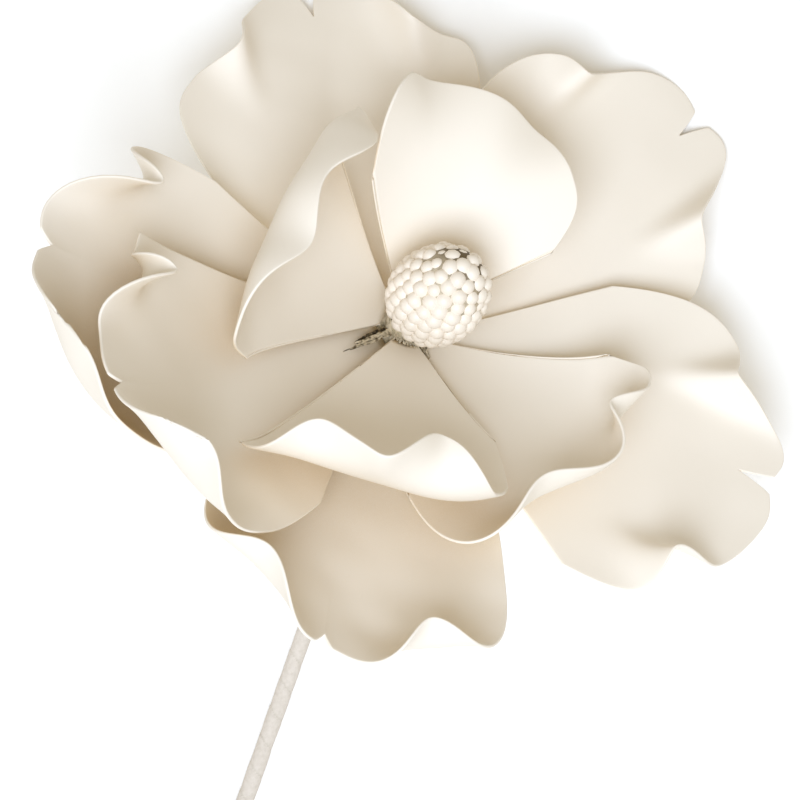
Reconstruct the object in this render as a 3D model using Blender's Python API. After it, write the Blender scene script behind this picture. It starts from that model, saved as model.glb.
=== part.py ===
"""A made magnolia bloom on its taped wire stem, laid on a surface. Metres, +Z up, the surface at Z = 0."""

import math

import bmesh
import bpy
import numpy as np
from mathutils import Matrix, Vector

MM = 0.001
# Between neighbouring pieces, in mm.
GAP = 0.3
# Points closer than this are joined, in mm.
WELD = 0.01
# Edges sharper than this stay sharp in the shading, in degrees.
SHARP_ANGLE = 45

# The bloom's axis leans this many degrees from the vertical, toward this direction counted from +X.
LEAN = 32.0
LEAN_TOWARD = 46.0
# Depth of the surface under the point where the petals meet, in mm.
JUNCTION_HEIGHT = 37.36

# Petals are cut from one thin sheet. Each is a grid of ribs, from root to rim, and of rows across them.
SHEET = 0.8
RIBS = 23
ROWS = 10
# Rows stand closer together toward the rim, where the sheet bends most.
ROW_CROWDING = 0.85
# Along each rib the bends are summed in steps this many times finer than the rows.
FINER = 5
# The midrib's bend is summed from just behind the root to past the tip, in mm and as a share of the length.
MIDRIB_FROM = -2
MIDRIB_TO = 1.15
MIDRIB_STEPS = 400
NOTCH_SHARPNESS = 1.3
# Beside a notch the rim falls off softly, by this share of its depth and over this many of its half widths.
NOTCH_SHOULDER = 0.35
SHOULDER_REACH = 2.2
# The cup is stated at this share of the fan's half width.
CUP_AT = 0.8

# Each petal, in mm and degrees, in the bloom's own frame with the axis along +Z:
#   azimuth, seat (radius and height of the root's middle), root (its half width)
#   length of the flat sheet, spread to each side of the midrib, fan_turn if the fan is turned on its folds
#   rise of the midrib over the bloom's base plane, from root to tip
#   cup, how far each half turns up, on the anticlockwise side and on the clockwise side
#   rim, how far each rib reaches, as a share of the length, from the clockwise side to the other
#   notches (place across, depth, half width), places across run from -1 to 1
#   flutes (place across, degrees turned up, width across, where along the rib it starts)
PETALS = {
    "petal_outer_1": dict(
        azimuth=104, seat=(8.0, 0.0), root=4.6, length=98, spread=41, rise=(3, 3, -2.5, -13), cup=(5, 45),
        rim=(0.56, 0.82, 0.86, 0.95, 1.02, 1.04, 0.96, 0.86, 0.84, 0.78, 0.58),
        notches=[(-0.1, 8, 0.035)], flutes=[(0.36, 40, 0.12, 0.68), (-0.5, 50, 0.12, 0.68)],
    ),
    "petal_outer_2": dict(
        azimuth=38, seat=(8.0, 1.4), root=4.6, length=95, spread=40, rise=(12, 15, 14, 10), cup=(45, -5),
        rim=(0.56, 0.8, 0.895, 0.93, 1.11, 1.13, 1.08, 0.93, 0.9, 0.79, 0.56),
        notches=[(-0.05, 9, 0.04)], flutes=[(0.48, 40, 0.1, 0.65), (-0.42, 45, 0.1, 0.68)],
    ),
    "petal_outer_3": dict(
        azimuth=-26, seat=(8.0, 2.8), root=4.6, length=101, spread=39, rise=(17, 12, 8, 4), cup=(20, 10),
        rim=(0.72, 0.86, 0.91, 0.97, 1.01, 1.03, 1.01, 0.865, 0.865, 0.77, 0.56),
        notches=[(0.04, 10, 0.04)], flutes=[(0.4, 40, 0.1, 0.65), (-0.6, 60, 0.12, 0.7)],
    ),
    "petal_outer_4": dict(
        azimuth=252, seat=(8.0, 0.8), root=4.6, length=96, spread=40, rise=(5, 8, 15, 30), cup=(50, 15),
        rim=(0.5, 0.75, 0.98, 1.05, 1.06, 1.03, 1.08, 1.09, 0.98, 0.72, 0.48),
        notches=[(-0.07, 4, 0.04)], flutes=[(0.32, 105, 0.16, 0.8), (-0.42, 75, 0.22, 0.72)],
    ),
    "petal_outer_5": dict(
        azimuth=186, seat=(8.0, 3.0), root=4.6, length=97, spread=40, rise=(5, 8, 15, 30), cup=(30, 15),
        rim=(0.6, 0.82, 0.88, 0.98, 1.03, 1.05, 1.11, 1.16, 1.17, 1.1, 0.93, 0.74, 0.52),
        notches=[(-0.2, 4, 0.05)], flutes=[(-0.58, 120, 0.13, 0.74), (0.3, 65, 0.3, 0.74)],
    ),
    "petal_middle": dict(
        azimuth=207, seat=(7.5, 5.0), root=4.0, length=98, spread=33, rise=(10, 15, 25, 40), cup=(10, 12),
        rim=(0.78, 0.81, 0.92, 0.97, 0.98, 1.03, 1.09, 1.15, 1.16, 1.11, 0.96, 0.82, 0.64),
        notches=[(-0.1, 5, 0.04)], flutes=[(-0.62, 125, 0.12, 0.76), (0.32, 68, 0.26, 0.72)],
    ),
    "petal_inner_1": dict(
        azimuth=71, seat=(6.5, 6.6), root=3.6, length=63, spread=40, rise=(45, 45, 38, 20), cup=(45, 25),
        rim=(0.64, 0.81, 0.88, 0.92, 0.95, 0.975, 0.98, 0.98, 0.98, 0.9, 0.63),
        notches=[], flutes=[(0.39, -35, 0.25, 0.6), (-0.25, -25, 0.2, 0.6)],
    ),
    "petal_inner_2": dict(
        azimuth=149, seat=(6.5, 8.0), root=3.6, length=71, spread=43, fan_turn=8.5,
        rise=(9, 23, 72, 152), cup=(16, 20),
        rim=(0.86, 0.95, 1.03, 1.01, 0.95, 0.96, 0.99, 1.0, 0.98, 0.94, 0.78),
        notches=[], flutes=[(-1, -50, 0.35, 0.3), (-0.85, 85, 0.36, 0.62), (0.17, 30, 0.18, 0.6)],
    ),
    "petal_inner_3": dict(
        azimuth=258, seat=(6.5, 9.0), root=3.6, length=80, spread=36, rise=(16, 16, 45, 120), cup=(20, 8),
        rim=(0.91, 0.99, 1.04, 1.03, 1.03, 1.03, 0.98, 0.87, 0.77, 0.62, 0.48),
        notches=[],
        flutes=[
            (-1, -10, 0.35, 0.35), (-0.62, 36, 0.15, 0.72), (-0.28, -20, 0.1, 0.75), (0, 60, 0.14, 0.72),
            (0.7, 15, 0.4, 0.3),
        ],
    ),
    "petal_inner_4": dict(
        azimuth=304, seat=(6.5, 6.6), root=3.6, length=72, spread=43, rise=(6, 14, 35, 90), cup=(40, 5),
        rim=(0.66, 0.88, 0.99, 1, 1, 1, 1.02, 1.02, 1, 0.93, 0.72),
        notches=[], flutes=[(-0.25, 38, 0.22, 0.66), (0.42, 70, 0.16, 0.68)],
    ),
}

# Taped base under the petals: radius and height of each ring of its turned profile, in mm.
BASE_PROFILE = (
    (2.9, -14.0), (3.6, -10.0), (5.4, -5.0), (7.2, -1.6), (7.6, -0.6), (7.6, 3.8), (7.05, 4.6),
    (7.05, 5.4), (5.9, 6.2), (5.8, 9.6), (4.7, 10.4),
)
BASE_SIDES = 24
# Its short neck turns toward the centre's own lean, in degrees.
NECK_TOP = (4.5, 12.4)
NECK_TURN_HEIGHT = 10.4

# Egg-shaped centre: core half length and radius, and the share of it that is cut flat at the base.
CENTRE_LEAN = 10.0
CENTRE_LEAN_TOWARD = 25.0
CORE_HALF_LENGTH = 15.2
CORE_RADIUS = 11.9
CORE_TAPER = 0.12
CORE_CUT = 0.86
CORE_SIDES = 16
CORE_RINGS = 10
CORE_OUTLINE_STEPS = 400
# Balls glued on it in staggered rows, from this angle under its widest place up to its tip.
BALLS_FROM = -48
BALL_RADIUS = 1.85
BALL_SINK = 0.35
BALL_SPACING = 3.75
ROW_SPACING = 3.25
# The first row stands this share of a row above the start.
FIRST_ROW = 0.4

# Stem: leaves the base along the axis, bends flat and lies on the surface.
STEM_RADIUS = 2.35
STEM_END_RADIUS = 2.7
STEM_TOP = -14.5
# Where the stem first lies flat, in plan from the junction, and its direction and length from there.
STEM_LANDS_AT = (-9.3, -36.0)
STEM_DIRECTION = (-0.334, -0.943)
STEM_LYING_LENGTH = 185.0
# How strongly each end of the bend keeps its direction.
STEM_LEAVES = 12.0
STEM_SETTLES = 20.0
BEND_POINTS = 12
LYING_POINTS = 9
STEM_BEVEL_RESOLUTION = 3


def through(knots, x):
    """A smooth curve over 0 to 1 through evenly spaced knots."""
    values = np.array(knots, float)
    last = len(values) - 1
    slopes = np.gradient(values)
    place = np.clip(x, 0, 1) * last
    i = np.minimum(place.astype(int), last - 1)
    t = place - i
    start = (2 * t**3 - 3 * t**2 + 1) * values[i] + (t**3 - 2 * t**2 + t) * slopes[i]
    end = (3 * t**2 - 2 * t**3) * values[i + 1] + (t**3 - t**2) * slopes[i + 1]
    return start + end


def ease(start, x):
    """Rises smoothly from 0 at start to 1 at x = 1."""
    t = np.clip((x - start) / (1 - start), 0, 1)
    return t * t * (3 - 2 * t)


def places_across(petal):
    """The ribs' places from -1 to 1, with three of them on each notch."""
    even = np.linspace(-1, 1, RIBS)
    notched = [at + side * width for at, depth, width in petal["notches"] for side in (-1, 0, 1)]
    clear = (even[1] - even[0]) / 2
    kept = [x for x in even if all(abs(x - n) > clear for n in notched)]
    return np.array(sorted(kept + notched))


def flat_pattern(petal, across, along):
    """The petal as cut flat: a fan that opens from its straight root, with X across and Y along."""
    spread = math.radians(petal["spread"])
    fan_centre = petal["root"] / math.tan(spread)
    reach = (petal["length"] + fan_centre) * through(petal["rim"], (across + 1) / 2)
    for at, depth, width in petal["notches"]:
        away = np.abs(across - at) / width
        reach = reach - depth * np.clip(1 - away, 0, 1) ** NOTCH_SHARPNESS
        reach = reach - NOTCH_SHOULDER * depth * np.exp(-((away / SHOULDER_REACH) ** 2))
    turn = across * spread + math.radians(petal.get("fan_turn", 0))
    inner = fan_centre / np.cos(turn)
    radius = inner + (reach - inner) * along
    return radius * np.sin(turn), radius * np.cos(turn) - fan_centre


def bend_sheet(petal, x, y):
    """Bends the sheet along its midrib, cups it across and puts its root on its seat."""
    length = petal["length"]
    walk = np.linspace(MIDRIB_FROM, MIDRIB_TO * length, MIDRIB_STEPS)
    rise = np.radians(through(petal["rise"], walk / length))
    step = walk[1] - walk[0]
    middle = (rise[1:] + rise[:-1]) / 2
    out = np.concatenate([[0], np.cumsum(np.cos(middle) * step)])
    up = np.concatenate([[0], np.cumsum(np.sin(middle) * step)])
    out = np.interp(y, walk, out - np.interp(0, walk, out))
    up = np.interp(y, walk, up - np.interp(0, walk, up))
    slope = np.interp(y, walk, rise)
    spread = math.radians(petal["spread"])
    half_width = CUP_AT * (length + petal["root"] / math.tan(spread)) * math.sin(spread)
    left, right = np.radians(petal["cup"]) / half_width
    curve = np.where(x > 0, left, right)
    sideways = np.sign(x) * np.sin(curve * np.abs(x)) / curve
    lifted = (1 - np.cos(curve * np.abs(x))) / curve
    out = out - np.sin(slope) * lifted
    up = up + np.cos(slope) * lifted
    radius, height = petal["seat"]
    return np.stack([out + radius, sideways, up + height], -1)


def ruffle(petal, sheet, across, along):
    """Turns the outer part of each rib further up, or down, at the flutes, and keeps its length."""
    extra = np.zeros_like(along)
    for at, degrees, width, start in petal["flutes"]:
        extra += math.radians(degrees) * np.exp(-(((across - at) / width) ** 2)) * ease(start, along)
    extra = ((extra[:, 1:] + extra[:, :-1]) / 2)[..., None]
    run = np.diff(sheet, axis=1)
    length = np.linalg.norm(run, axis=2, keepdims=True)
    run /= length
    over = np.gradient(sheet, axis=0)
    face = np.cross(run, over[:, 1:] + over[:, :-1])
    face /= np.linalg.norm(face, axis=2, keepdims=True)
    moves = length * (np.cos(extra) * run + np.sin(extra) * face)
    root = sheet[:, :1]
    return np.concatenate([root, root + np.cumsum(moves, axis=1)], axis=1)


def petal_sheet(petal):
    """The middle surface of a petal, in mm, as ribs by rows of points."""
    even = np.linspace(0, 1, ROWS) ** ROW_CROWDING
    fine = np.interp(np.linspace(0, ROWS - 1, (ROWS - 1) * FINER + 1), np.arange(ROWS), even)
    across, along = np.meshgrid(places_across(petal), fine, indexing="ij")
    x, y = flat_pattern(petal, across, along)
    sheet = ruffle(petal, bend_sheet(petal, x, y), across, along)
    return sheet[:, ::FINER]


def make_material(name, colour, roughness):
    material = bpy.data.materials.new(name)
    material.use_nodes = True
    shader = material.node_tree.nodes["Principled BSDF"]
    shader.inputs["Base Color"].default_value = (*colour, 1)
    shader.inputs["Roughness"].default_value = roughness
    shader.inputs["Metallic"].default_value = 0
    return material


def add_object(name, data, parent, material):
    obj = bpy.data.objects.new(name, data)
    bpy.context.scene.collection.objects.link(obj)
    obj.parent = parent
    data.materials.append(material)
    return obj


def mesh_from(bm, name):
    """A smooth shaded mesh with its sharp edges kept."""
    mesh = bpy.data.meshes.new(name)
    bm.to_mesh(mesh)
    bm.free()
    mesh.shade_smooth()
    mesh.set_sharp_from_angle(angle=math.radians(SHARP_ANGLE))
    return mesh


def make_empty(name, parent=None):
    empty = bpy.data.objects.new(name, None)
    bpy.context.scene.collection.objects.link(empty)
    empty.parent = parent
    return empty


def lean_toward(degrees, direction):
    """The rotation that leans +Z by some degrees toward a direction in plan."""
    toward = math.radians(direction)
    return Matrix.Rotation(math.radians(degrees), 4, Vector((-math.sin(toward), math.cos(toward), 0)))


def make_petal(name, petal, bloom, material):
    """One petal: its middle surface, split into triangles, then given the sheet's thickness."""
    sheet = petal_sheet(petal) * MM
    ribs, rows = sheet.shape[:2]
    bm = bmesh.new()
    bmesh.ops.create_grid(bm, x_segments=ribs - 1, y_segments=rows - 1, size=1)
    for vert in bm.verts:
        rib = round((vert.co.x + 1) / 2 * (ribs - 1))
        row = round((vert.co.y + 1) / 2 * (rows - 1))
        vert.co = sheet[rib, row]
    bmesh.ops.triangulate(bm, faces=bm.faces, quad_method="SHORT_EDGE")
    obj = add_object(name, mesh_from(bm, name), bloom, material)
    obj.rotation_euler = (0, 0, math.radians(petal["azimuth"]))
    thicken = obj.modifiers.new("sheet_thickness", "SOLIDIFY")
    thicken.thickness = SHEET * MM
    thicken.offset = 0
    return obj


def make_base(bloom, material):
    """The taped base that carries the petals, turned from its profile, with its neck bent over."""
    bm = bmesh.new()
    profile = [bm.verts.new((radius * MM, 0, height * MM)) for radius, height in (*BASE_PROFILE, NECK_TOP)]
    foot = bm.verts.new((0, 0, BASE_PROFILE[0][1] * MM))
    top = bm.verts.new((0, 0, NECK_TOP[1] * MM))
    points = [foot, *profile, top]
    edges = [bm.edges.new(pair) for pair in zip(points[:-1], points[1:])]
    bmesh.ops.spin(
        bm, geom=points + edges, cent=(0, 0, 0), axis=(0, 0, 1), dvec=(0, 0, 0),
        angle=2 * math.pi, steps=BASE_SIDES, use_merge=True, use_duplicate=False,
    )
    bmesh.ops.remove_doubles(bm, verts=bm.verts, dist=WELD * MM)
    bmesh.ops.recalc_face_normals(bm, faces=bm.faces)
    neck_middle = (NECK_TURN_HEIGHT + NECK_TOP[1]) / 2
    neck = [vert for vert in bm.verts if vert.co.z > neck_middle * MM]
    turn = lean_toward(CENTRE_LEAN, CENTRE_LEAN_TOWARD)
    bmesh.ops.rotate(bm, cent=(0, 0, NECK_TURN_HEIGHT * MM), matrix=turn.to_3x3(), verts=neck)
    return add_object("taped_base", mesh_from(bm, "taped_base"), bloom, material)


def core_radius(share):
    """The core's radius at a share of its half length, from -1 at the base to 1 at the tip."""
    return CORE_RADIUS * math.sqrt(max(0, 1 - share * share)) * (1 - CORE_TAPER * share)


def core_mesh():
    """The egg, with its base cut flat."""
    bm = bmesh.new()
    bmesh.ops.create_uvsphere(bm, u_segments=CORE_SIDES, v_segments=CORE_RINGS, radius=1)
    for vert in bm.verts:
        share = vert.co.z
        side = vert.co.xy.normalized() * core_radius(share)
        vert.co = Vector((*side, share * CORE_HALF_LENGTH)) * MM
    cut = bmesh.ops.bisect_plane(
        bm, geom=bm.verts[:] + bm.edges[:] + bm.faces[:], plane_co=(0, 0, -CORE_CUT * CORE_HALF_LENGTH * MM),
        plane_no=(0, 0, -1), clear_outer=True,
    )
    rim = [edge for edge in cut["geom_cut"] if isinstance(edge, bmesh.types.BMEdge)]
    bmesh.ops.holes_fill(bm, edges=rim)
    bmesh.ops.recalc_face_normals(bm, faces=bm.faces)
    return mesh_from(bm, "centre_core")


def ball_places():
    """Ball centres in staggered rows up the core, in mm."""
    samples = [math.radians(a) for a in np.linspace(BALLS_FROM, 90, CORE_OUTLINE_STEPS)]
    outline = [(core_radius(math.sin(a)), CORE_HALF_LENGTH * math.sin(a)) for a in samples]
    travelled = [0.0]
    for before, after in zip(outline[:-1], outline[1:]):
        travelled.append(travelled[-1] + math.dist(before, after))
    rows = int(travelled[-1] / ROW_SPACING)
    places = []
    for row in range(rows):
        want = travelled[-1] * (row + FIRST_ROW) / rows
        radius = np.interp(want, travelled, [point[0] for point in outline])
        height = np.interp(want, travelled, [point[1] for point in outline])
        count = max(1, int(2 * math.pi * radius / BALL_SPACING))
        for k in range(count):
            angle = 2 * math.pi * (k + row % 2 / 2) / count
            places.append((radius * math.cos(angle), radius * math.sin(angle), height))
    return places


def make_centre(bloom, material):
    """The centre: the core and its balls, joined by one union."""
    core = add_object("centre", core_mesh(), None, material)
    balls = bpy.data.collections.new("balls")
    bpy.context.scene.collection.children.link(balls)
    bm = bmesh.new()
    bmesh.ops.create_icosphere(bm, subdivisions=1, radius=BALL_RADIUS * MM)
    ball_mesh = mesh_from(bm, "ball")
    for place in ball_places():
        ball = bpy.data.objects.new("ball", ball_mesh)
        balls.objects.link(ball)
        ball.location = Vector(place) * (1 - BALL_SINK / CORE_RADIUS) * MM
        ball.rotation_euler = Vector((0, 0, 1)).rotation_difference(Vector(place)).to_euler()
    join = core.modifiers.new("balls_joined", "BOOLEAN")
    join.operation = "UNION"
    join.operand_type = "COLLECTION"
    join.collection = balls
    apply_modifiers(core)
    for ball in list(balls.objects):
        bpy.data.objects.remove(ball)
    bpy.data.collections.remove(balls)
    turn = lean_toward(CENTRE_LEAN, CENTRE_LEAN_TOWARD)
    neck_turn = Vector((0, 0, NECK_TURN_HEIGHT))
    above = NECK_TOP[1] - NECK_TURN_HEIGHT + GAP + CORE_CUT * CORE_HALF_LENGTH
    core.location = (neck_turn + turn @ Vector((0, 0, above))) * MM
    core.rotation_euler = turn.to_euler()
    core.parent = bloom
    return core


def apply_modifiers(obj):
    """Keeps the evaluated mesh in place of the modifiers."""
    bpy.context.view_layer.update()
    evaluated = obj.evaluated_get(bpy.context.evaluated_depsgraph_get())
    mesh = bpy.data.meshes.new_from_object(evaluated)
    obj.modifiers.clear()
    obj.data = mesh


def stem_route():
    """Points of the stem's middle line and its radius there, in mm from the junction."""
    down = lean_toward(LEAN, LEAN_TOWARD) @ Vector((0, 0, -1))
    start = down * -STEM_TOP
    lying = Vector((*STEM_DIRECTION, 0)).normalized()
    lands = Vector((*STEM_LANDS_AT, STEM_RADIUS - JUNCTION_HEIGHT))
    handles = (start, start + down * STEM_LEAVES, lands - lying * STEM_SETTLES, lands)
    bend = []
    for i in range(BEND_POINTS):
        t = i / BEND_POINTS
        weights = ((1 - t) ** 3, 3 * t * (1 - t) ** 2, 3 * t * t * (1 - t), t**3)
        point = sum((handle * weight for handle, weight in zip(handles, weights)), Vector())
        bend.append((point, STEM_RADIUS))
    run = []
    for i in range(LYING_POINTS):
        share = i / (LYING_POINTS - 1)
        radius = STEM_RADIUS + (STEM_END_RADIUS - STEM_RADIUS) * share
        point = lands + lying * STEM_LYING_LENGTH * share
        point.z = radius - JUNCTION_HEIGHT
        run.append((point, radius))
    return bend + run


def make_stem(rest, material):
    """The taped wire, a round tube along its route with closed ends."""
    curve = bpy.data.curves.new("stem", "CURVE")
    curve.dimensions = "3D"
    curve.bevel_depth = STEM_RADIUS * MM
    curve.bevel_resolution = STEM_BEVEL_RESOLUTION
    curve.use_fill_caps = True
    route = stem_route()
    spline = curve.splines.new("POLY")
    spline.points.add(len(route) - 1)
    for point, (place, radius) in zip(spline.points, route):
        point.co = (*(place * MM), 1)
        point.radius = radius / STEM_RADIUS
    return add_object("stem", curve, rest, material)


def world_box(pieces):
    """Lowest and highest corners of the finished pieces."""
    bpy.context.view_layer.update()
    graph = bpy.context.evaluated_depsgraph_get()
    corners = []
    for piece in pieces:
        mesh = piece.evaluated_get(graph).to_mesh()
        corners += [piece.matrix_world @ vert.co for vert in mesh.vertices]
    points = np.array(corners)
    return points.min(axis=0), points.max(axis=0)


def main():
    for obj in list(bpy.data.objects):
        bpy.data.objects.remove(obj)
    rest = make_empty("resting_place")
    bloom = make_empty("bloom_axis", rest)
    bloom.matrix_basis = lean_toward(LEAN, LEAN_TOWARD)
    foam = make_material("ivory_foam_sheet", (0.86, 0.82, 0.73), 0.6)
    beads = make_material("ivory_balls", (0.90, 0.86, 0.79), 0.4)
    tape = make_material("stem_tape", (0.74, 0.73, 0.68), 0.75)
    base_tape = make_material("olive_base_tape", (0.36, 0.33, 0.24), 0.85)
    pieces = [make_petal(name, petal, bloom, foam) for name, petal in PETALS.items()]
    pieces.append(make_base(bloom, base_tape))
    pieces.append(make_centre(bloom, beads))
    pieces.append(make_stem(rest, tape))
    low, high = world_box(pieces)
    rest.location = (-(low[0] + high[0]) / 2, -(low[1] + high[1]) / 2, -low[2])


main()
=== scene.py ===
import math

import bmesh
import bpy
import numpy as np
from mathutils import Matrix, Vector


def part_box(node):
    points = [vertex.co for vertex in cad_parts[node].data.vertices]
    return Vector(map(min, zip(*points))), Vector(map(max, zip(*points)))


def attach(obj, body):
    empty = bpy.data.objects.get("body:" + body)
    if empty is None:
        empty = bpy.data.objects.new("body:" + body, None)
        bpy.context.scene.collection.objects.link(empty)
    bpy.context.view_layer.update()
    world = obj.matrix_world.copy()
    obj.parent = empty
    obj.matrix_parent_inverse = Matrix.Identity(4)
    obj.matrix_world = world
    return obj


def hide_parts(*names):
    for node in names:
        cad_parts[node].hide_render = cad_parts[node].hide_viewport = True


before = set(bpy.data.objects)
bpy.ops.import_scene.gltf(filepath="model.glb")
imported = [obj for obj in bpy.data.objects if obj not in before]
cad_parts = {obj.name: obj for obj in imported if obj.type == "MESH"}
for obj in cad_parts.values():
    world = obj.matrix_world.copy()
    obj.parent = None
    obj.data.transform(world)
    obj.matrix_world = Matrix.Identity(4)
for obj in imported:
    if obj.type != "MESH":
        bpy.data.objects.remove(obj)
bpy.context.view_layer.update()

mm = 0.001
random = np.random.default_rng(7)
anyPhase = 7  # phases of waves are drawn from 0 to this, a little over a full turn in radians
black = (0, 0, 0)
white = (1, 1, 1)

# the bloom: its axis leans from the vertical, toward a direction counted from +X
bloom = {
    "lean": 32,
    "leanToward": 46,
}


def leanMatrix(degrees, direction):
    toward = math.radians(direction)
    return Matrix.Rotation(math.radians(degrees), 4, Vector((-math.sin(toward), math.cos(toward), 0)))


def aroundAxis(radius, angle, height):
    return Vector((radius * math.cos(angle), radius * math.sin(angle), height)) * mm


def throughKnots(knots, x):
    # a smooth curve over 0 to 1 through evenly spaced knots
    values = np.array(knots, float)
    last = len(values) - 1
    slopes = np.gradient(values)
    place = np.clip(x, 0, 1) * last
    i = np.minimum(place.astype(int), last - 1)
    t = place - i
    start = (2 * t**3 - 3 * t**2 + 1) * values[i] + (t**3 - 2 * t**2 + t) * slopes[i]
    end = (3 * t**2 - 2 * t**3) * values[i + 1] + (t**3 - t**2) * slopes[i + 1]
    return start + end


def easeIn(start, x):
    t = np.clip((x - start) / (1 - start), 0, 1)
    return t * t * (3 - 2 * t)


# taped base, in mm: the radius and height of each ring of its turned profile
# its short neck bends over with the centre
base = {
    "profile": (
        (2.9, -14.0), (3.6, -10.0), (5.4, -5.0), (7.2, -1.6), (7.6, -0.6), (7.6, 3.8), (7.05, 4.6),
        (7.05, 5.4), (5.9, 6.2), (5.8, 9.6), (4.7, 10.4),
    ),
    "neckTop": (4.5, 12.4),
    "neckTurnHeight": 10.4,
    "sides": 24,
}

bloomTurn = leanMatrix(bloom["lean"], bloom["leanToward"])
ringAngles = np.arange(base["sides"]) * 2 * math.pi / base["sides"]
baseOutline = [
    bloomTurn @ aroundAxis(radius, angle, height)
    for radius, height in base["profile"]
    for angle in ringAngles
]
# where the petals meet: the base's own box in the frame against the same outline round the origin
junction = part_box("taped_base")[0] - Vector([min(point[i] for point in baseOutline) for i in range(3)])
bloomPlace = Matrix.Translation(junction) @ bloomTurn
print("junction at", [round(side * 1000, 2) for side in junction], "mm")


# camera: looks straight down, its place in mm from the junction
view = {
    "right": 1.08,
    "up": -17.28,
    "height": 600,
    "lens": 100,
    "sensor": 36,
    "nearest": 10,
}


def makeCamera():
    data = bpy.data.cameras.new("camera")
    data.lens = view["lens"]
    data.sensor_width = view["sensor"]
    data.clip_start = view["nearest"] * mm
    camera = bpy.data.objects.new("camera", data)
    camera.location = junction + Vector((view["right"], view["up"], view["height"])) * mm
    bpy.context.scene.collection.objects.link(camera)
    bpy.context.scene.camera = camera


makeCamera()


def newMaterial(name, roughness):
    material = bpy.data.materials.new(name)
    material.use_nodes = True
    tree = material.node_tree
    shader = tree.nodes["Principled BSDF"]
    shader.inputs["Roughness"].default_value = roughness
    return material, tree, shader


def addNode(tree, kind, **values):
    # a node with its settings, and its inputs by name where the name starts with a capital letter
    node = tree.nodes.new(kind)
    for key, value in values.items():
        if key[0].isupper():
            node.inputs[key.replace("_", " ")].default_value = value
        else:
            setattr(node, key, value)
    return node


def colourRamp(tree, source, stops):
    ramp = tree.nodes.new("ShaderNodeValToRGB")
    stops = list(stops)
    while len(ramp.color_ramp.elements) < len(stops):
        ramp.color_ramp.elements.new(0.5)
    for element, (place, colour) in zip(ramp.color_ramp.elements, stops):
        element.position = place
        element.color = (*colour, 1)
    tree.links.new(source, ramp.inputs["Fac"])
    return ramp.outputs["Color"]


def mixColour(tree, how, factor, first, second):
    mix = addNode(tree, "ShaderNodeMix", data_type="RGBA", blend_type=how)
    for socket, value in (("Factor_Float", factor), ("A_Color", first), ("B_Color", second)):
        target = next(i for i in mix.inputs if i.identifier == socket)
        if isinstance(value, bpy.types.NodeSocket):
            tree.links.new(value, target)
        else:
            target.default_value = (*value, 1) if isinstance(value, tuple) else value
    return next(o for o in mix.outputs if o.identifier == "Result_Color")


def noise(tree, scale, detail, **values):
    # noise on Object coordinates, its scale in waves a metre
    coordinates = addNode(tree, "ShaderNodeTexCoord").outputs["Object"]
    texture = addNode(tree, "ShaderNodeTexNoise", Scale=scale, Detail=detail, **values)
    tree.links.new(coordinates, texture.inputs["Vector"])
    return texture.outputs["Fac"]


def attribute(tree, name):
    return addNode(tree, "ShaderNodeAttribute", attribute_name=name).outputs["Fac"]


def openness(tree, samples, reach):
    # 1 in the open and toward 0 in a gap that is narrow against the reach, in mm
    return addNode(tree, "ShaderNodeAmbientOcclusion", samples=samples, Distance=reach * mm).outputs["AO"]


def addBump(tree, shader, height, strength, depth):
    bump = addNode(tree, "ShaderNodeBump", Strength=strength, Distance=depth * mm)
    tree.links.new(height, bump.inputs["Height"])
    tree.links.new(bump.outputs["Normal"], shader.inputs["Normal"])


def finishPiece(obj, node):
    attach(obj, "root")
    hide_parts(node)


def objectFrom(bm, name, material):
    mesh = bpy.data.meshes.new(name)
    bm.to_mesh(mesh)
    bm.free()
    mesh.shade_smooth()
    obj = bpy.data.objects.new(name, mesh)
    mesh.materials.append(material)
    bpy.context.scene.collection.objects.link(obj)
    return obj


# ivory foam with painted shade: darker, warmer colour where other surfaces hem it in, by ambient occlusion;
#   a faint pebbled skin; reaches and depths in mm
#   shades, how open a place is where each colour stands, from the painted fold shade through painted half
#   shade to ivory
foam = {
    "ivory": (0.93, 0.865, 0.765),
    "half": (0.91, 0.81, 0.66),
    "foldShade": (0.76, 0.60, 0.36),
    "foldReach": 50,
    "foldSamples": 8,
    "shades": (0.02, 0.3, 0.7),
    "grainSize": 1600,
    "grainDetail": 2.0,
    "grainDepth": 0.2,
    "grainStrength": 0.04,
    "roughness": 0.62,
}


def makeFoam():
    material, tree, shader = newMaterial("ivoryCraftFoam", foam["roughness"])
    # painted shade: the colour darkens and warms from ivory toward the fold colour as the surface gets
    # hemmed in
    clear = openness(tree, foam["foldSamples"], foam["foldReach"])
    paintedShade = colourRamp(tree, clear, zip(foam["shades"], (foam["foldShade"], foam["half"], foam["ivory"])))
    tree.links.new(paintedShade, shader.inputs["Base Color"])
    grain = noise(tree, foam["grainSize"], foam["grainDetail"])
    addBump(tree, shader, grain, foam["grainStrength"], foam["grainDepth"])
    return material


# the sheet that every petal is cut from, in mm; ribs run from root to rim, and rows across
#   notchSharpness, above 1 for a pointed notch, and notchCrowding, how many more ribs stand at one
#   shoulder, how far the rim falls beside a notch, as a share of the notch's depth
#   cupAt, the share of the half width at which a cup reaches its angle
#   bendFrom and bendReach, where the midrib's bend starts, and where it ends as a share of the length
#   edgePlaces, where rows stand on the rounded edge, from the rim to its inner side
sheet = {
    "thickness": 0.8,
    "ribs": 150,
    "rows": 76,
    "rowCrowding": 0.85,
    "notchSharpness": 1.3,
    "notchCrowding": 4,
    "notchCrowdWidth": 1.5,
    "crowdSteps": 2001,
    "shoulder": 0.35,
    "shoulderReach": 2.2,
    "cupAt": 0.8,
    "bendFrom": -2,
    "bendReach": 1.15,
    "bendSteps": 400,
    "roundedEdge": 0.45,
    "edgePlaces": (0, 0.2, 0.55, 1),
    "edgeThickness": (0.3, 0.72, 0.93),
    "unevenness": 0.12,
    "unevenFrom": 0.1,
    "unevenLengths": (14, 45),
    "unevenWaves": 10,
}

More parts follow.
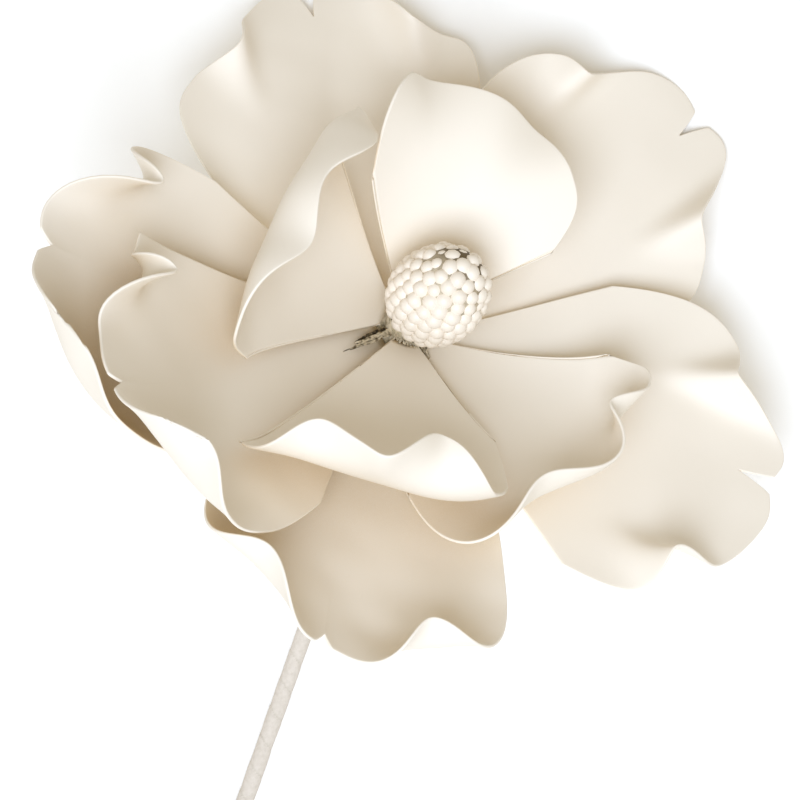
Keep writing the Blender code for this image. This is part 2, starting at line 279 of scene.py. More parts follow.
# petals, in mm and degrees:
#   azimuth, seat (radius and height of the root's middle), root (its half width)
#   length, spread to each side of the midrib, fanTurn if the fan is turned on its folds
#   rise of the midrib over the bloom's base plane, from root to tip
#   cup, how far each half turns up, on the anticlockwise side and on the clockwise side
#   rim, how far it reaches across the petal, as a share of the length, from the clockwise side
#   notches (place across, depth, half width), with places across from -1 to 1
#   flutes (place across, degrees turned up, width across, where along the rib they start)
petals = {
    "petal_outer_1": dict(
        azimuth=104, seat=(8.0, 0.0), root=4.6, length=98, spread=41, rise=(3, 3, -2.5, -13), cup=(5, 45),
        rim=(0.56, 0.82, 0.86, 0.95, 1.02, 1.04, 0.96, 0.86, 0.84, 0.78, 0.58),
        notches=[(-0.1, 8, 0.035)], flutes=[(0.36, 40, 0.12, 0.68), (-0.5, 50, 0.12, 0.68)],
    ),
    "petal_outer_2": dict(
        azimuth=38, seat=(8.0, 1.4), root=4.6, length=95, spread=40, rise=(12, 15, 14, 10), cup=(45, -5),
        rim=(0.56, 0.8, 0.895, 0.93, 1.11, 1.13, 1.08, 0.93, 0.9, 0.79, 0.56),
        notches=[(-0.05, 9, 0.04)], flutes=[(0.48, 40, 0.1, 0.65), (-0.42, 45, 0.1, 0.68)],
    ),
    "petal_outer_3": dict(
        azimuth=-26, seat=(8.0, 2.8), root=4.6, length=101, spread=39, rise=(17, 12, 8, 4), cup=(20, 10),
        rim=(0.72, 0.86, 0.91, 0.97, 1.01, 1.03, 1.01, 0.865, 0.865, 0.77, 0.56),
        notches=[(0.04, 10, 0.04)], flutes=[(0.4, 40, 0.1, 0.65), (-0.6, 60, 0.12, 0.7)],
    ),
    "petal_outer_4": dict(
        azimuth=252, seat=(8.0, 0.8), root=4.6, length=96, spread=40, rise=(5, 8, 15, 30), cup=(50, 15),
        rim=(0.5, 0.75, 0.98, 1.05, 1.06, 1.03, 1.08, 1.09, 0.98, 0.72, 0.48),
        notches=[(-0.07, 4, 0.04)], flutes=[(0.32, 105, 0.16, 0.8), (-0.42, 75, 0.22, 0.72)],
    ),
    "petal_outer_5": dict(
        azimuth=186, seat=(8.0, 3.0), root=4.6, length=97, spread=40, rise=(5, 8, 15, 30), cup=(30, 15),
        rim=(0.6, 0.82, 0.88, 0.98, 1.03, 1.05, 1.11, 1.16, 1.17, 1.1, 0.93, 0.74, 0.52),
        notches=[(-0.2, 4, 0.05)], flutes=[(-0.58, 120, 0.13, 0.74), (0.3, 65, 0.3, 0.74)],
    ),
    "petal_middle": dict(
        azimuth=207, seat=(7.5, 5.0), root=4.0, length=98, spread=33, rise=(10, 15, 25, 40), cup=(10, 12),
        rim=(0.78, 0.81, 0.92, 0.97, 0.98, 1.03, 1.09, 1.15, 1.16, 1.11, 0.96, 0.82, 0.64),
        notches=[(-0.1, 5, 0.04)], flutes=[(-0.62, 125, 0.12, 0.76), (0.32, 68, 0.26, 0.72)],
    ),
    "petal_inner_1": dict(
        azimuth=71, seat=(6.5, 6.6), root=3.6, length=63, spread=40, rise=(45, 45, 38, 20), cup=(45, 25),
        rim=(0.64, 0.81, 0.88, 0.92, 0.95, 0.975, 0.98, 0.98, 0.98, 0.9, 0.63),
        notches=[], flutes=[(0.39, -35, 0.25, 0.6), (-0.25, -25, 0.2, 0.6)],
    ),
    "petal_inner_2": dict(
        azimuth=149, seat=(6.5, 8.0), root=3.6, length=71, spread=43, fanTurn=8.5,
        rise=(9, 23, 72, 152), cup=(16, 20),
        rim=(0.86, 0.95, 1.03, 1.01, 0.95, 0.96, 0.99, 1.0, 0.98, 0.94, 0.78),
        notches=[], flutes=[(-1, -50, 0.35, 0.3), (-0.85, 85, 0.36, 0.62), (0.17, 30, 0.18, 0.6)],
    ),
    "petal_inner_3": dict(
        azimuth=258, seat=(6.5, 9.0), root=3.6, length=80, spread=36, rise=(16, 16, 45, 120), cup=(20, 8),
        rim=(0.91, 0.99, 1.04, 1.03, 1.03, 1.03, 0.98, 0.87, 0.77, 0.62, 0.48),
        notches=[],
        flutes=[
            (-1, -10, 0.35, 0.35), (-0.62, 36, 0.15, 0.72), (-0.28, -20, 0.1, 0.75), (0, 60, 0.14, 0.72),
            (0.7, 15, 0.4, 0.3),
        ],
    ),
    "petal_inner_4": dict(
        azimuth=304, seat=(6.5, 6.6), root=3.6, length=72, spread=43, rise=(6, 14, 35, 90), cup=(40, 5),
        rim=(0.66, 0.88, 0.99, 1, 1, 1, 1.02, 1.02, 1, 0.93, 0.72),
        notches=[], flutes=[(-0.25, 38, 0.22, 0.66), (0.42, 70, 0.16, 0.68)],
    ),
}


def placesAcross(petal):
    # ribs stand closer together at each notch, and closest at both sides, where the edge is rounded
    even = np.linspace(-1, 1, sheet["crowdSteps"])
    crowd = np.ones_like(even)
    for at, depth, width in petal["notches"]:
        reach = sheet["notchCrowdWidth"] * width
        crowd += sheet["notchCrowding"] * np.exp(-(((even - at) / reach) ** 2))
    share = np.cumsum(crowd)
    share = (share - share[0]) / (share[-1] - share[0])
    inner = np.interp(np.linspace(0, 1, sheet["ribs"])[1:-1], share, even)
    edge = sheet["roundedEdge"] / (petal["length"] / 2 * math.radians(petal["spread"]))
    border = 1 - edge * np.array(sheet["edgePlaces"])
    return np.concatenate([-border, inner, border[::-1]])


def placesAlong(petal):
    even = np.linspace(0, 1, sheet["rows"]) ** sheet["rowCrowding"]
    border = 1 - sheet["roundedEdge"] / petal["length"] * np.array(sheet["edgePlaces"][::-1])
    return np.concatenate([even[:-1] * border[0], border])


def flatPattern(petal, across, along):
    # the petal as cut flat: a fan that opens from its straight root, with X across and Y along
    spread = math.radians(petal["spread"])
    fanCentre = petal["root"] / math.tan(spread)
    reach = (petal["length"] + fanCentre) * throughKnots(petal["rim"], (across + 1) / 2)
    for at, depth, width in petal["notches"]:
        away = np.abs(across - at) / width
        reach = reach - depth * np.clip(1 - away, 0, 1) ** sheet["notchSharpness"]
        reach = reach - sheet["shoulder"] * depth * np.exp(-((away / sheet["shoulderReach"]) ** 2))
    turn = across * spread + math.radians(petal.get("fanTurn", 0))
    inner = fanCentre / np.cos(turn)
    radius = inner + (reach - inner) * along
    return radius * np.sin(turn), radius * np.cos(turn) - fanCentre


def bendSheet(petal, x, y):
    # bent along its midrib, cupped across, and set on its seat
    length = petal["length"]
    walk = np.linspace(sheet["bendFrom"], sheet["bendReach"] * length, sheet["bendSteps"])
    rise = np.radians(throughKnots(petal["rise"], walk / length))
    step = walk[1] - walk[0]
    middle = (rise[1:] + rise[:-1]) / 2
    out = np.concatenate([[0], np.cumsum(np.cos(middle) * step)])
    up = np.concatenate([[0], np.cumsum(np.sin(middle) * step)])
    out = np.interp(y, walk, out - np.interp(0, walk, out))
    up = np.interp(y, walk, up - np.interp(0, walk, up))
    slope = np.interp(y, walk, rise)
    spread = math.radians(petal["spread"])
    halfWidth = sheet["cupAt"] * (length + petal["root"] / math.tan(spread)) * math.sin(spread)
    left, right = np.radians(petal["cup"]) / halfWidth
    curve = np.where(x > 0, left, right)
    sideways = np.sign(x) * np.sin(curve * np.abs(x)) / curve
    lifted = (1 - np.cos(curve * np.abs(x))) / curve
    out = out - np.sin(slope) * lifted
    up = up + np.cos(slope) * lifted
    radius, height = petal["seat"]
    return np.stack([out + radius, sideways, up + height], -1)


def faceDirections(points):
    along = np.gradient(points, axis=1)
    over = np.gradient(points, axis=0)
    face = np.cross(along, over)
    return face / np.linalg.norm(face, axis=2, keepdims=True)


def ruffle(petal, points, across, along):
    # the outer part of each rib turns further up, or down, at the flutes, and keeps its length
    extra = np.zeros_like(along)
    for at, degrees, width, start in petal["flutes"]:
        extra += math.radians(degrees) * np.exp(-(((across - at) / width) ** 2)) * easeIn(start, along)
    extra = ((extra[:, 1:] + extra[:, :-1]) / 2)[..., None]
    run = np.diff(points, axis=1)
    length = np.linalg.norm(run, axis=2, keepdims=True)
    run /= length
    over = np.gradient(points, axis=0)
    face = np.cross(run, over[:, 1:] + over[:, :-1])
    face /= np.linalg.norm(face, axis=2, keepdims=True)
    moves = length * (np.cos(extra) * run + np.sin(extra) * face)
    root = points[:, :1]
    return np.concatenate([root, root + np.cumsum(moves, axis=1)], axis=1)


def unevenness(x, y):
    # slow waves in many directions, as hand-shaped sheet has
    low, high = sheet["unevenLengths"]
    height = np.zeros_like(x)
    for wave in range(sheet["unevenWaves"]):
        length = random.uniform(low, high)
        heading = random.uniform(0, 2 * math.pi)
        phase = random.uniform(0, 2 * math.pi)
        height += np.sin((x * math.cos(heading) + y * math.sin(heading)) * 2 * math.pi / length + phase)
    return height * sheet["unevenness"] / math.sqrt(sheet["unevenWaves"] / 2)


def makePetal(name, petal, material):
    across, along = np.meshgrid(placesAcross(petal), placesAlong(petal), indexing="ij")
    x, y = flatPattern(petal, across, along)
    points = ruffle(petal, bendSheet(petal, x, y), across, along)
    points += faceDirections(points) * (unevenness(x, y) * easeIn(sheet["unevenFrom"], along))[..., None]
    ribs, rows = along.shape
    bm = bmesh.new()
    bmesh.ops.create_grid(bm, x_segments=ribs - 1, y_segments=rows - 1, size=1)
    place = bloomPlace @ Matrix.Rotation(math.radians(petal["azimuth"]), 4, "Z")
    thickness = np.ones_like(along)
    for i, share in enumerate(sheet["edgeThickness"]):
        thickness[i, :] = np.minimum(thickness[i, :], share)
        thickness[-1 - i, :] = np.minimum(thickness[-1 - i, :], share)
        thickness[:, -1 - i] = np.minimum(thickness[:, -1 - i], share)
    weights = []
    for vert in bm.verts:
        rib = round((vert.co.x + 1) / 2 * (ribs - 1))
        row = round((vert.co.y + 1) / 2 * (rows - 1))
        vert.co = place @ Vector(points[rib, row] * mm)
        weights.append(thickness[rib, row])
    obj = objectFrom(bm, name + "_foam", material)
    group = obj.vertex_groups.new(name="thickness")
    for index, weight in enumerate(weights):
        group.add([index], weight, "REPLACE")
    thicken = obj.modifiers.new("foamThickness", "SOLIDIFY")
    thicken.thickness = sheet["thickness"] * mm
    thicken.offset = 0
    thicken.vertex_group = "thickness"
    finishPiece(obj, name)


foamMaterial = makeFoam()
for petalName, petal in petals.items():
    makePetal(petalName, petal, foamMaterial)
print("petals made:", len(petals))


# egg-shaped centre, in mm: its core, and the balls glued on it in staggered rows up to the tip
#   cut, where the core is cut flat, as a share of its half length below its middle
#   ballsFrom, where the rows start, in degrees below the middle, and firstRow, a share of a row above that
#   ballRadius, at the lowest row and at the tip; the uneven values grow from 0 to full toward the tip
#   farSide, the side whose gaps get painted dark shade, and farFrom, how squarely a place faces it as that
#   painted shade sets in
centre = {
    "lean": 10,
    "leanToward": 25,
    "halfLength": 15.2,
    "radius": 11.9,
    "taper": 0.12,
    "cut": 0.86,
    "gap": 0.3,
    "coreSides": 48,
    "outlineSteps": 400,
    "ballsFrom": -48,
    "rowSpacing": 3.25,
    "ballSpacing": 3.75,
    "firstRow": 0.4,
    "ballRadius": (2.65, 2.1),
    "ballSink": 1.1,
    "ballStretch": (0.94, 1.06),
    "ballSubdivisions": 2,
    "unevenSize": 0.1,
    "unevenPlace": 0.3,
    # bead is the balls' own ivory; beadShade is painted shade in the gaps between balls, farShade painted
    # shade on the far side
    "bead": (0.93, 0.85, 0.74),
    "beadShade": (0.84, 0.76, 0.62),
    "beadRoughness": 0.38,
    "gapReach": 4,
    "gapSamples": 8,
    "gapShades": (0.15, 0.6),
    "farSide": (0.7, 0.68, 0.2),
    "farFrom": (0.4, 0.8),
    "farShade": (0.34, 0.25, 0.12),
    # glue is the core's own tan; the far glue colour is painted shade on the side away from the lamp
    "glue": (0.70, 0.60, 0.44),
    "glueFarShade": (0.17, 0.115, 0.045),
    "glueRoughness": 0.7,
    "patchSize": 420,
    "patchDetail": 4.0,
    "patchShades": (0.35, 0.7),
    "patchDark": (0.6, 0.6, 0.6),
}

centreTurn = leanMatrix(centre["lean"], centre["leanToward"])
neckTurn = Matrix.Translation((0, 0, base["neckTurnHeight"] * mm)) @ centreTurn
coreBottom = base["neckTop"][1] - base["neckTurnHeight"] + centre["gap"]
coreHeight = coreBottom + centre["cut"] * centre["halfLength"]
centrePlace = bloomPlace @ neckTurn @ Matrix.Translation((0, 0, coreHeight * mm))


def coreRadius(share):
    return centre["radius"] * np.sqrt(np.maximum(0, 1 - share * share)) * (1 - centre["taper"] * share)


def farShare(place):
    # how far a place on the centre looks toward the side where its gaps are painted dark with shade
    heading = (centrePlace.to_3x3() @ place).normalized()
    return heading.dot(Vector(centre["farSide"]).normalized())


def makeBeadFoam():
    material, tree, shader = newMaterial("ivoryBeadFoam", centre["beadRoughness"])
    # painted shade: ivory in the open, darker in the gaps between balls, darkest on the far side away from
    # the lamp
    far = attribute(tree, "far")
    shade = colourRamp(tree, far, zip(centre["farFrom"], (centre["beadShade"], centre["farShade"])))
    gap = openness(tree, centre["gapSamples"], centre["gapReach"])
    clear = colourRamp(tree, gap, zip(centre["gapShades"], (black, white)))
    tree.links.new(mixColour(tree, "MIX", clear, shade, centre["bead"]), shader.inputs["Base Color"])
    return material


def makeGlue():
    material, tree, shader = newMaterial("brownCoreGlue", centre["glueRoughness"])
    far = attribute(tree, "far")
    # painted shade: the glue darkens toward near-black on the far side
    colour = colourRamp(tree, far, zip(centre["farFrom"], (centre["glue"], centre["glueFarShade"])))
    patches = noise(tree, centre["patchSize"], centre["patchDetail"])
    worn = colourRamp(tree, patches, zip(centre["patchShades"], (centre["patchDark"], white)))
    tree.links.new(mixColour(tree, "MULTIPLY", 1.0, colour, worn), shader.inputs["Base Color"])
    return material


def makeCore():
    bm = bmesh.new()
    sides = centre["coreSides"]
    farLayer = bm.verts.layers.float.new("far")
    bmesh.ops.create_uvsphere(bm, u_segments=sides, v_segments=sides // 2, radius=1)
    for vert in bm.verts:
        share = vert.co.z
        side = vert.co.xy.normalized() * coreRadius(share)
        vert.co = Vector((*side, share * centre["halfLength"])) * mm
        vert[farLayer] = farShare(vert.co)
    cut = bmesh.ops.bisect_plane(
        bm, geom=bm.verts[:] + bm.edges[:] + bm.faces[:],
        plane_co=(0, 0, -centre["cut"] * centre["halfLength"] * mm), plane_no=(0, 0, -1), clear_outer=True,
    )
    rim = [edge for edge in cut["geom_cut"] if isinstance(edge, bmesh.types.BMEdge)]
    bmesh.ops.holes_fill(bm, edges=rim)
    bmesh.ops.transform(bm, matrix=centrePlace, verts=bm.verts)
    bmesh.ops.recalc_face_normals(bm, faces=bm.faces)
    return objectFrom(bm, "centre_core", makeGlue())


def ballPlaces():
    # rows up the core's outline, each ball with its height as a share of the way to the tip
    angles = np.radians(np.linspace(centre["ballsFrom"], 90, centre["outlineSteps"]))
    outline = np.stack([coreRadius(np.sin(angles)), centre["halfLength"] * np.sin(angles)])
    steps = np.hypot(*np.diff(outline, axis=1))
    travelled = np.concatenate([[0], np.cumsum(steps)])
    rows = int(travelled[-1] / centre["rowSpacing"])
    for row in range(rows):
        share = (row + centre["firstRow"]) / rows
        radius, height = (np.interp(share * travelled[-1], travelled, line) for line in outline)
        count = max(1, int(2 * math.pi * radius / centre["ballSpacing"]))
        for k in range(count):
            angle = 2 * math.pi * (k + row % 2 / 2) / count
            yield Vector((radius * math.cos(angle), radius * math.sin(angle), height)), share


def makeBalls():
    bm = bmesh.new()
    farLayer = bm.verts.layers.float.new("far")
    low, high = centre["ballRadius"]
    for place, share in ballPlaces():
        nudge = Vector(random.normal(0, centre["unevenPlace"], 3)) * share
        place = place * (1 - centre["ballSink"] / centre["radius"]) + nudge
        size = (low + (high - low) * share) * (1 + centre["unevenSize"] * share * random.normal())
        stretch = Vector(random.uniform(*centre["ballStretch"], 3)) * size * mm
        turn = Matrix.Rotation(random.uniform(0, math.pi), 4, Vector(random.normal(0, 1, 3)))
        matrix = Matrix.Translation(place * mm) @ turn @ Matrix.Diagonal((*stretch, 1))
        ball = bmesh.ops.create_icosphere(
            bm, subdivisions=centre["ballSubdivisions"], radius=1, matrix=centrePlace @ matrix,
        )
        for vert in ball["verts"]:
            vert[farLayer] = farShare(place)
    return objectFrom(bm, "centre_balls", makeBeadFoam())


for piece in (makeCore(), makeBalls()):
    finishPiece(piece, "centre")
print("centre made")


# tape wound on the base, in mm: each turn steps in where the next one covers it, and the skin is creased
#   around and along, the cells of the skin, and pitch, how far apart the tape's turns are
#   creasesAround, how many creases a wave has round the base, and creaseSlant, its slant in radians a mm
tape = {
    "around": 120,
    "along": 150,
    "pitch": 2.6,
    "step": 0.4,
    "creases": 0.1,
    "creaseWaves": 6,
    "creasesAround": (5, 17),
    "creaseSlant": (0.4, 1.6),
    "dark": (0.20, 0.16, 0.09),
    "olive": (0.52, 0.44, 0.28),
    "pale": (0.80, 0.70, 0.52),
    "shades": (0.28, 0.42, 0.58),
    "patchSize": 500,
    "patchDetail": 6.0,
    "patchRoughness": 0.65,
    "grainSize": 3000,
    "grainDetail": 4.0,
    "grainDepth": 0.3,
    "grainStrength": 0.4,
    "roughness": 0.85,
}
mergeReach = 1e-7  # metres between the points that meet where a sheet of tape closes into a tube


def tapeTurn(travelled, angle, values):
    # share of the way from one edge of the wound tape to the next
    return (travelled / values["pitch"] + angle / (2 * math.pi)) % 1


def windTape(values, placeAt):
    # a grid wrapped into a tube and closed at both ends; placeAt gives a point and the tape's turn there
    bm = bmesh.new()
    seamLayer = bm.verts.layers.float.new("seam")
    bmesh.ops.create_grid(bm, x_segments=values["around"], y_segments=values["along"], size=1)
    for vert in bm.verts:
        vert.co, vert[seamLayer] = placeAt((vert.co.x + 1) * math.pi, (vert.co.y + 1) / 2)
    bmesh.ops.remove_doubles(bm, verts=bm.verts, dist=mergeReach)
    bmesh.ops.holes_fill(bm, edges=[edge for edge in bm.edges if edge.is_boundary])
    bmesh.ops.recalc_face_normals(bm, faces=bm.faces)
    return bm


def makeOliveTape():
    material, tree, shader = newMaterial("oliveFloristTape", tape["roughness"])
    patches = noise(tree, tape["patchSize"], tape["patchDetail"], Roughness=tape["patchRoughness"])
    mottled = colourRamp(tree, patches, zip(tape["shades"], (tape["dark"], tape["olive"], tape["pale"])))
    tree.links.new(mottled, shader.inputs["Base Color"])
    grain = noise(tree, tape["grainSize"], tape["grainDetail"])
    addBump(tree, shader, grain, tape["grainStrength"], tape["grainDepth"])
    return material


def makeTapedBase():
    profile = [*base["profile"], base["neckTop"]]
    radii, heights = zip(*profile)
    neckLow = base["neckTurnHeight"]
    neckBent = (neckLow + base["neckTop"][1]) / 2
    count = tape["creaseWaves"]
    creases = [
        (
            int(random.integers(*tape["creasesAround"])),
            random.uniform(0, anyPhase),
            random.uniform(*tape["creaseSlant"]),
        )
        for _ in range(count)
    ]

    def placeAt(angle, share):
        height = heights[0] + (heights[-1] - heights[0]) * share
        turn = tapeTurn(height, angle, tape)
        crease = sum(
            math.sin(waves * angle + phase + height * slant) for waves, phase, slant in creases
        ) / count
        radius = np.interp(height, heights, radii) - tape["step"] * turn**3 - tape["creases"] * (1 + crease)
        straight = aroundAxis(radius, angle, height)
        turned = neckTurn @ aroundAxis(radius, angle, height - neckLow)
        bend = np.clip((height - neckLow) / (neckBent - neckLow), 0, 1)
        return bloomPlace @ straight.lerp(turned, bend), turn

    return objectFrom(windTape(tape, placeAt), "base_tape_turns", makeOliveTape())


# torn tape ends that stick out of the neck between the petals, in mm and degrees;
#   the darker ends are partly the tape's own olive and partly painted shade of the gaps between the petals'
#   roots ends (azimuth, height, width, length, rise, how pale from 0 to 1, low for the painted gap shade)
#   shades, where each colour stands on a scale of the end's paleness and its patches;
#   black is painted shade, brown partly the tape's colour and partly painted shade, tan the tape's own
tornEnds = {
    "cells": 16,
    "from": 4.6,
    "narrowing": 0.35,
    "thickness": 0.25,
    "raggedEnd": 0.5,
    "raggedSide": 0.45,
    "crumple": 0.22,
    "ends": (
        (172, 9.6, 3.0, 2.0, 50, 0.0),
        (205, 7.4, 3.2, 13.0, 9, 0.1),
        (209, 7.8, 2.4, 19.0, 11, 0.5),
        (236, 9.4, 3.6, 3.2, 10, 0.95),
        (258, 9.8, 3.6, 3.4, 12, 1.0),
        (282, 9.6, 3.2, 3.6, 0, 0.8),
        (290, 9.3, 2.4, 5.0, -8, 0.1),
        (299, 9.3, 1.8, 7.2, -8, 0.6),
    ),
    "black": (0.035, 0.028, 0.016),
    "brown": (0.20, 0.145, 0.07),
    "tan": (0.76, 0.65, 0.46),
    "shades": (0.42, 0.6, 0.8),
    "paleShare": 0.5,
    "patchSize": 650,
    "patchDetail": 5.0,
    "patchRoughness": 0.6,
}


def makeTornTape():
    material, tree, shader = newMaterial("tornTapeAndGapShade", tape["roughness"])
    patches = noise(
        tree, tornEnds["patchSize"], tornEnds["patchDetail"], Roughness=tornEnds["patchRoughness"],
    )
    # painted shade: ends with low paleness fall toward brown and black
    shade = addNode(tree, "ShaderNodeMath", operation="MULTIPLY_ADD")
    tree.links.new(attribute(tree, "pale"), shade.inputs[0])
    shade.inputs[1].default_value = tornEnds["paleShare"]
    tree.links.new(patches, shade.inputs[2])
    stops = zip(tornEnds["shades"], (tornEnds["black"], tornEnds["brown"], tornEnds["tan"]))
    tree.links.new(colourRamp(tree, shade.outputs["Value"], stops), shader.inputs["Base Color"])
    return material


def makeTornEnds():
    bm = bmesh.new()
    paleLayer = bm.verts.layers.float.new("pale")
    cells = tornEnds["cells"]
    for azimuth, height, width, length, rise, pale in tornEnds["ends"]:
        grid = bmesh.ops.create_grid(bm, x_segments=cells, y_segments=cells, size=1)
        end = random.uniform(1 - tornEnds["raggedEnd"], 1, cells + 1)
        sides = random.uniform(1 - tornEnds["raggedSide"], 1, (2, cells + 1))
        crumple = random.normal(0, tornEnds["crumple"], (cells + 1, cells + 1))
        slope = math.tan(math.radians(rise))
        turn = Matrix.Rotation(math.radians(azimuth), 4, "Z")
        for vert in grid["verts"]:
            column = round((vert.co.x + 1) / 2 * cells)
            row = round((vert.co.y + 1) / 2 * cells)
            share = row / cells * end[column]
            out = tornEnds["from"] + length * share
            narrowed = 1 - tornEnds["narrowing"] * share
            across = vert.co.x * width / 2 * narrowed * sides[int(vert.co.x > 0), row]
            up = height + slope * length * share + crumple[column, row] * share
            vert.co = bloomPlace @ turn @ (Vector((out, across, up)) * mm)
            vert[paleLayer] = pale
    bmesh.ops.recalc_face_normals(bm, faces=bm.faces)
    obj = objectFrom(bm, "base_torn_tape_and_gap_shade", makeTornTape())
    thicken = obj.modifiers.new("tapeThickness", "SOLIDIFY")
    thicken.thickness = tornEnds["thickness"] * mm
    thicken.offset = 0
    return obj


for piece in (makeTapedBase(), makeTornEnds()):
    finishPiece(piece, "taped_base")
print("taped base made")


# stem, in mm from the junction: leaves the base along the bloom's axis, bends flat and lies on the surface
#   top, how far under the junction it starts, and landsAt, where it first lies flat
#   leaves and settles, how strongly each end of the bend keeps its direction
#   seamFrom, where on a turn of the tape its seam starts to show, in painted shade under the next turn's
#   edge
stem = {
    "radius": 2.35,
    "endRadius": 2.7,
    "top": 14.5,
    "landsAt": (-9.3, -36.0),
    "direction": (-0.334, -0.943),
    "lyingLength": 185.0,
    "leaves": 12.0,
    "settles": 20.0,
    "bendPoints": 60,
    "lyingPoints": 180,
    "around": 36,
    "along": 520,
    "pitch": 8.5,
    "step": 0.16,
    "kinks": 0.14,
    "kinkWaves": 9,
    "kinkLengths": (9, 60),
    "paper": (0.70, 0.64, 0.57),
    "paperSeamShade": (0.60, 0.55, 0.47),
    "seamFrom": 0.86,
    "crepeSize": 900,
    "crepeDetail": 5.0,
    "crepeRoughness": 0.6,
    "crepeShades": (0.3, 0.6),
    "crepeDark": (0.86, 0.85, 0.82),
    "crepeShare": 0.8,
    "crepeDepth": 0.3,
    "crepeStrength": 0.3,
    "roughness": 0.8,
}

# steel wire that shows at the stem's cut end, in mm
wire = {
    "radius": 1.25,
    "length": 2.4,
    "bevel": 0.12,
    "sides": 32,
    "steel": (0.46, 0.45, 0.43),
    "shade": (0.26, 0.25, 0.24),
    "shades": (0.35, 0.65),
    "markSize": 2500,
    "markDetail": 3.0,
    "roughness": 0.45,
}


def stemRoute():
    # points of the middle line about a millimetre apart, and the radius there
    down = -(bloomTurn.col[2].to_3d())
    start = down * stem["top"]
    lying = Vector((*stem["direction"], 0)).normalized()
    surface = -junction.z / mm
    lands = Vector((*stem["landsAt"], surface + stem["radius"]))
    handles = (start, start + down * stem["leaves"], lands - lying * stem["settles"], lands)
    points = []
    for t in np.linspace(0, 1, stem["bendPoints"])[:-1]:
        weights = ((1 - t) ** 3, 3 * t * (1 - t) ** 2, 3 * t * t * (1 - t), t**3)
        point = sum((handle * weight for handle, weight in zip(handles, weights)), Vector())
        points.append((point, stem["radius"]))
    for share in np.linspace(0, 1, stem["lyingPoints"]):
        radius = stem["radius"] + (stem["endRadius"] - stem["radius"]) * share
        point = lands + lying * stem["lyingLength"] * share
        point.z = surface + radius
        points.append((point, radius))
    return points


def makeStemTape():
    material, tree, shader = newMaterial("wovenStemTape", stem["roughness"])
    seam = attribute(tree, "seam")
    # painted shade along each seam, where the next turn steps over this one
    colour = colourRamp(tree, seam, ((stem["seamFrom"], stem["paper"]), (1, stem["paperSeamShade"])))
    crepe = noise(tree, stem["crepeSize"], stem["crepeDetail"], Roughness=stem["crepeRoughness"])
    mottled = colourRamp(tree, crepe, zip(stem["crepeShades"], (stem["crepeDark"], white)))
    mixed = mixColour(tree, "MULTIPLY", stem["crepeShare"], colour, mottled)
    tree.links.new(mixed, shader.inputs["Base Color"])
    addBump(tree, shader, crepe, stem["crepeStrength"], stem["crepeDepth"])
    return material


def makeStem():
    route = stemRoute()
    points = np.array([point for point, radius in route])
    travelled = np.concatenate([[0], np.cumsum(np.linalg.norm(np.diff(points, axis=0), axis=1))])
    radii = [radius for point, radius in route]
    low, high = stem["kinkLengths"]
    count = stem["kinkWaves"]
    waves = [
        (random.uniform(low, high), random.uniform(0, anyPhase), random.uniform(0, anyPhase))
        for _ in range(count)
    ]
    side = Vector(stem["direction"]).orthogonal().to_3d().normalized()

    def placeAt(angle, share):
        along = share * travelled[-1]
        middle, before, after = (
            Vector([np.interp(along + shift, travelled, line) for line in points.T]) for shift in (0, -1, 1)
        )
        onward = (after - before).normalized()
        over = onward.cross(side).normalized()
        across = over.cross(onward)
        kink = sum(
            math.sin(along * 2 * math.pi / length + phase + math.sin(angle + way))
            for length, phase, way in waves
        )
        turn = tapeTurn(along, angle, stem)
        radius = np.interp(along, travelled, radii) - stem["step"] * turn**3
        radius -= stem["kinks"] * (1 + kink / (count / 2)) / 2
        outward = across * math.cos(angle) + over * math.sin(angle)
        return (middle + outward * radius) * mm + junction, turn

    return objectFrom(windTape(stem, placeAt), "stem_tape_wound", makeStemTape())


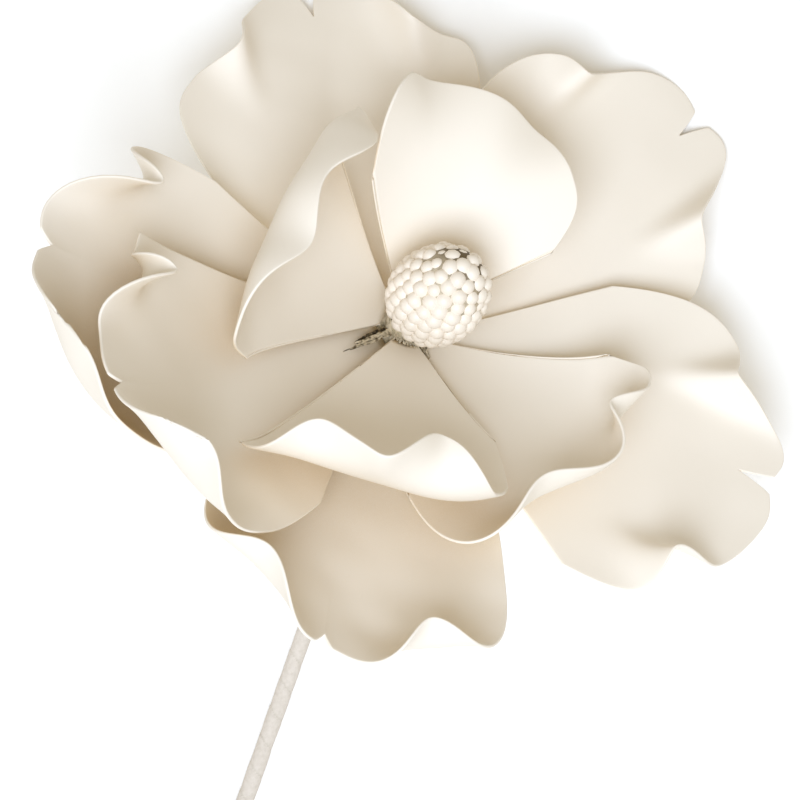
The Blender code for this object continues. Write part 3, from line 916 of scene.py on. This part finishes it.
def makeWireEnd():
    # half of its length stands proud of the tape
    material, tree, shader = newMaterial("cutSteelWire", wire["roughness"])
    marks = noise(tree, wire["markSize"], wire["markDetail"])
    colour = colourRamp(tree, marks, zip(wire["shades"], (wire["shade"], wire["steel"])))
    tree.links.new(colour, shader.inputs["Base Color"])
    shader.inputs["Metallic"].default_value = 1
    bm = bmesh.new()
    radius = wire["radius"] * mm
    bmesh.ops.create_cone(
        bm, cap_ends=True, segments=wire["sides"], radius1=radius, radius2=radius, depth=wire["length"] * mm,
    )
    sharp = [edge for edge in bm.edges if edge.calc_face_angle() > math.pi / 4]
    bmesh.ops.bevel(
        bm, geom=sharp, affect="EDGES", offset=wire["bevel"] * mm, segments=2, profile=0.5, material=-1,
    )
    end, radius = stemRoute()[-1]
    along = Vector((*stem["direction"], 0))
    place = Matrix.Translation(end * mm + junction) @ along.to_track_quat("Z", "Y").to_matrix().to_4x4()
    bmesh.ops.transform(bm, matrix=place, verts=bm.verts)
    return objectFrom(bm, "stem_wire_end", material)


for piece in (makeStem(), makeWireEnd()):
    finishPiece(piece, "stem")
print("stem made")


# a cool soft lamp above, toward the stem, in metres from the junction, and a warm surrounding
light = {
    "from": (-0.1, -0.4, 1.1),
    "size": 0.7,
    "power": 14.0,
    "colour": (0.73, 0.83, 1.0),
    "surround": (1.0, 0.89, 0.68),
    "surroundStrength": 0.485,
}


def makeLight():
    lamp = bpy.data.lights.new("key", "AREA")
    lamp.size = light["size"]
    lamp.energy = light["power"]
    lamp.color = light["colour"]
    key = bpy.data.objects.new("key", lamp)
    place = Vector(light["from"])
    key.location = junction + place
    key.rotation_euler = (-place).to_track_quat("-Z", "Y").to_euler()
    bpy.context.scene.collection.objects.link(key)
    world = bpy.data.worlds.new("paleSurround")
    world.use_nodes = True
    background = world.node_tree.nodes["Background"]
    background.inputs["Color"].default_value = (*light["surround"], 1)
    background.inputs["Strength"].default_value = light["surroundStrength"]
    bpy.context.scene.world = world
    bpy.context.scene.view_settings.view_transform = "Standard"


# a white floor, in metres, which glows a little so that it stays white
floor = {
    "radius": 4,
    "sides": 96,
    "white": (0.97, 0.97, 0.96),
    "glow": 0.06,
    "roughness": 0.9,
}


def makeFloor():
    material, tree, shader = newMaterial("paleFloor", floor["roughness"])
    shader.inputs["Base Color"].default_value = (*floor["white"], 1)
    shader.inputs["Specular IOR Level"].default_value = 0
    shader.inputs["Emission Color"].default_value = (*white, 1)
    shader.inputs["Emission Strength"].default_value = floor["glow"]
    bm = bmesh.new()
    bmesh.ops.create_circle(bm, cap_ends=True, segments=floor["sides"], radius=floor["radius"])
    objectFrom(bm, "floor", material)


makeLight()
makeFloor()
print("light and floor made")
